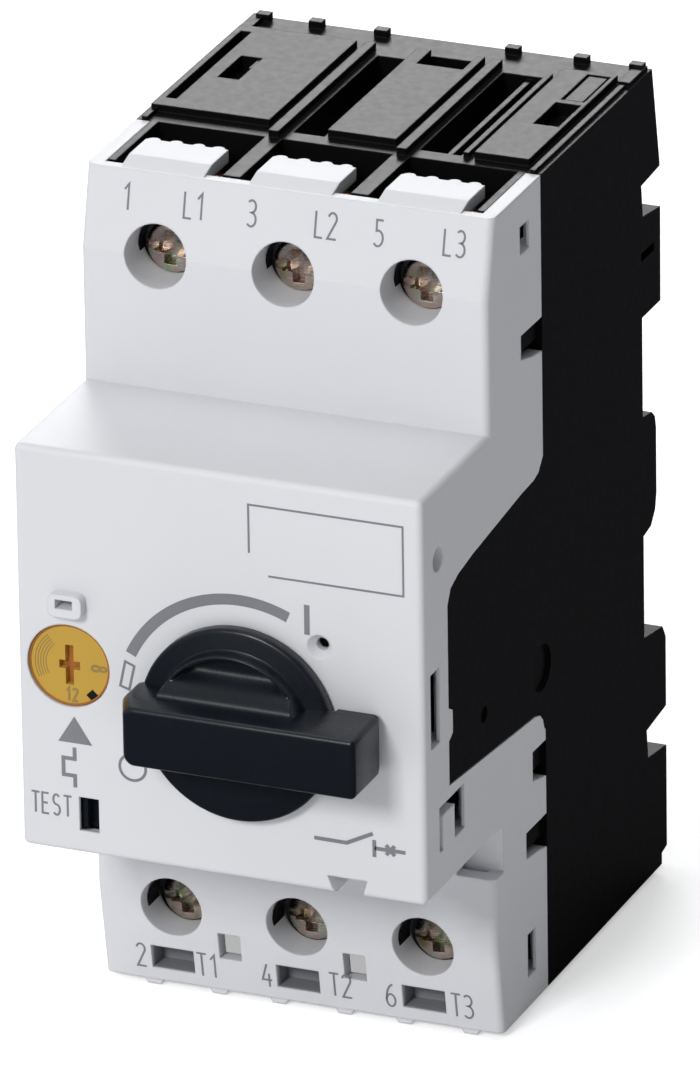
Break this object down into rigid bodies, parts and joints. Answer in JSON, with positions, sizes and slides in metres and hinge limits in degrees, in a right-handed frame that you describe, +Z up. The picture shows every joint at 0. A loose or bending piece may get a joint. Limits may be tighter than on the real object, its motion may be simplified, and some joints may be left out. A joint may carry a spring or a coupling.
{
  "type": "motor protection breaker",
  "caption": "Rail-mounted motor protection breaker with a rotary handle, a current setting dial, a test slot and screw terminals above and below",
  "frame": {"origin": "middle of the rail seating: mid-width, on the rear wall that touches the rail, at the height of the rail's centre line", "axes": "+X right seen from the front, +Y to the back (towards the rail), +Z up (line terminals on top)"},
  "size_m": [0.045, 0.076, 0.093],
  "materials": {
    "black_plastic": "satin black moulding",
    "grey_plastic": "satin light grey moulding",
    "knob_plastic": "satin",
    "dial_plastic": "yellow",
    "red_plastic": "trip parts",
    "white_plastic": "carrier moulding",
    "steel": "zinc plated",
    "screw_steel": "yellow passivated",
    "copper": "copper",
    "bimetal": "bright"
  },
  "bodies": {
    "housing": {"base_housing": "black_plastic", "front_cover": "grey_plastic", "mechanism_frame": "black_plastic", "main_spring": "steel", "test_spring": "steel", "rail_slide_spring": "steel", "line_rail_1": "copper", "line_rail_2": "copper", "line_rail_3": "copper", "load_rail_1": "copper", "load_rail_2": "copper", "load_rail_3": "copper", "lower_contact_1": "copper", "lower_contact_2": "copper", "lower_contact_3": "copper", "bimetal_1": "bimetal", "bimetal_2": "bimetal", "bimetal_3": "bimetal", "heater_1": "steel", "heater_2": "steel", "heater_3": "steel", "arc_chute_1": "steel", "arc_chute_2": "steel", "arc_chute_3": "steel", "coil_1": "copper", "coil_2": "copper", "coil_3": "copper", "plunger_spring_1": "steel", "plunger_spring_2": "steel", "plunger_spring_3": "steel"},
    "handle_body": {"handle": "knob_plastic", "handle_shaft": "steel", "handle_cam": "white_plastic"},
    "carrier_body": {"contact_carrier": "white_plastic", "contact_springs": "steel", "contact_bridge_1": "copper", "contact_bridge_2": "copper", "contact_bridge_3": "copper"},
    "dial_body": {"setting_dial": "dial_plastic", "setting_shaft": "white_plastic"},
    "test_body": {"test_lever": "knob_plastic"},
    "trip_body": {"trip_slide": "red_plastic"},
    "latch_body": {"latch_lever": "steel"},
    "rail_slide_body": {"rail_slide": "black_plastic"},
    "line_clamp_body_1": {"line_clamp_1": "steel"},
    "line_screw_body_1": {"line_screw_1": "screw_steel"},
    "line_clamp_body_2": {"line_clamp_2": "steel"},
    "line_screw_body_2": {"line_screw_2": "screw_steel"},
    "line_clamp_body_3": {"line_clamp_3": "steel"},
    "line_screw_body_3": {"line_screw_3": "screw_steel"},
    "load_clamp_body_1": {"load_clamp_1": "steel"},
    "load_screw_body_1": {"load_screw_1": "screw_steel"},
    "load_clamp_body_2": {"load_clamp_2": "steel"},
    "load_screw_body_2": {"load_screw_2": "screw_steel"},
    "load_clamp_body_3": {"load_clamp_3": "steel"},
    "load_screw_body_3": {"load_screw_3": "screw_steel"},
    "plunger_body_1": {"plunger_1": "steel"},
    "plunger_body_2": {"plunger_2": "steel"},
    "plunger_body_3": {"plunger_3": "steel"}
  },
  "joints": [
    {"name": "handle_turn", "type": "hinge", "parent": "housing", "child": "handle_body", "pos_m": [0.00235, -0.0618, -0.00465], "axis": [0, 1, 0], "range_deg": [0, 90]},
    {"name": "carrier_slide", "type": "slide", "parent": "housing", "child": "carrier_body", "axis": [0, 1, 0], "range_m": [0, 0.00215]},
    {"name": "setting_turn", "type": "hinge", "parent": "housing", "child": "dial_body", "pos_m": [-0.01686, -0.0615, -0.0015], "axis": [0, 1, 0], "range_deg": [0, 90]},
    {"name": "test_push", "type": "slide", "parent": "housing", "child": "test_body", "axis": [1, 0, 0], "range_m": [0, 0.0015], "stiffness_N_per_m": 150, "springref_m": -0.002, "deforming": ["test_spring"]},
    {"name": "trip_push", "type": "slide", "parent": "housing", "child": "trip_body", "axis": [1, 0, 0], "range_m": [0, 0.0016]},
    {"name": "latch_turn", "type": "hinge", "parent": "housing", "child": "latch_body", "pos_m": [-0.006, -0.0405, -0.014], "axis": [0, 1, 0], "range_deg": [0, 17]},
    {"name": "rail_slide_pull", "type": "slide", "parent": "housing", "child": "rail_slide_body", "axis": [0, 0, -1], "range_m": [0, 0.003], "stiffness_N_per_m": 800, "springref_m": -0.001, "deforming": ["rail_slide_spring"]},
    {"name": "line_clamp_slide_1", "type": "slide", "parent": "housing", "child": "line_clamp_body_1", "axis": [0, 1, 0], "range_m": [0, 0.0035]},
    {"name": "line_screw_turn_1", "type": "hinge", "parent": "line_clamp_body_1", "child": "line_screw_body_1", "pos_m": [-0.0142, -0.0383, 0.0366], "axis": [0, 1, 0], "range_deg": [0, 1800]},
    {"name": "line_clamp_slide_2", "type": "slide", "parent": "housing", "child": "line_clamp_body_2", "axis": [0, 1, 0], "range_m": [0, 0.0035]},
    {"name": "line_screw_turn_2", "type": "hinge", "parent": "line_clamp_body_2", "child": "line_screw_body_2", "pos_m": [0, -0.0383, 0.0366], "axis": [0, 1, 0], "range_deg": [0, 1800]},
    {"name": "line_clamp_slide_3", "type": "slide", "parent": "housing", "child": "line_clamp_body_3", "axis": [0, 1, 0], "range_m": [0, 0.0035]},
    {"name": "line_screw_turn_3", "type": "hinge", "parent": "line_clamp_body_3", "child": "line_screw_body_3", "pos_m": [0.0142, -0.0383, 0.0366], "axis": [0, 1, 0], "range_deg": [0, 1800]},
    {"name": "load_clamp_slide_1", "type": "slide", "parent": "housing", "child": "load_clamp_body_1", "axis": [0, 1, 0], "range_m": [0, 0.0035]},
    {"name": "load_screw_turn_1", "type": "hinge", "parent": "load_clamp_body_1", "child": "load_screw_body_1", "pos_m": [-0.0142, -0.0383, -0.0371], "axis": [0, 1, 0], "range_deg": [0, 1800]},
    {"name": "load_clamp_slide_2", "type": "slide", "parent": "housing", "child": "load_clamp_body_2", "axis": [0, 1, 0], "range_m": [0, 0.0035]},
    {"name": "load_screw_turn_2", "type": "hinge", "parent": "load_clamp_body_2", "child": "load_screw_body_2", "pos_m": [0, -0.0383, -0.0371], "axis": [0, 1, 0], "range_deg": [0, 1800]},
    {"name": "load_clamp_slide_3", "type": "slide", "parent": "housing", "child": "load_clamp_body_3", "axis": [0, 1, 0], "range_m": [0, 0.0035]},
    {"name": "load_screw_turn_3", "type": "hinge", "parent": "load_clamp_body_3", "child": "load_screw_body_3", "pos_m": [0.0142, -0.0383, -0.0371], "axis": [0, 1, 0], "range_deg": [0, 1800]},
    {"name": "plunger_strike_1", "type": "slide", "parent": "housing", "child": "plunger_body_1", "axis": [0, -1, 0], "range_m": [0, 0.0012], "stiffness_N_per_m": 60, "springref_m": -0.002, "deforming": ["plunger_spring_1"]},
    {"name": "plunger_strike_2", "type": "slide", "parent": "housing", "child": "plunger_body_2", "axis": [0, -1, 0], "range_m": [0, 0.0012], "stiffness_N_per_m": 60, "springref_m": -0.002, "deforming": ["plunger_spring_2"]},
    {"name": "plunger_strike_3", "type": "slide", "parent": "housing", "child": "plunger_body_3", "axis": [0, -1, 0], "range_m": [0, 0.0012], "stiffness_N_per_m": 60, "springref_m": -0.002, "deforming": ["plunger_spring_3"]}
  ],
  "couplings": [
    {"joint": "handle_turn", "follows": "carrier_slide", "rad_per_m": 730.6},
    {"joint": "trip_push", "follows": "test_push", "ratio": 1},
    {"joint": "latch_turn", "follows": "test_push", "rad_per_m": 194.33},
    {"joint": "line_screw_turn_1", "follows": "line_clamp_slide_1", "rad_per_m": 8976},
    {"joint": "line_screw_turn_2", "follows": "line_clamp_slide_2", "rad_per_m": 8976},
    {"joint": "line_screw_turn_3", "follows": "line_clamp_slide_3", "rad_per_m": 8976},
    {"joint": "load_screw_turn_1", "follows": "load_clamp_slide_1", "rad_per_m": 8976},
    {"joint": "load_screw_turn_2", "follows": "load_clamp_slide_2", "rad_per_m": 8976},
    {"joint": "load_screw_turn_3", "follows": "load_clamp_slide_3", "rad_per_m": 8976}
  ]
}
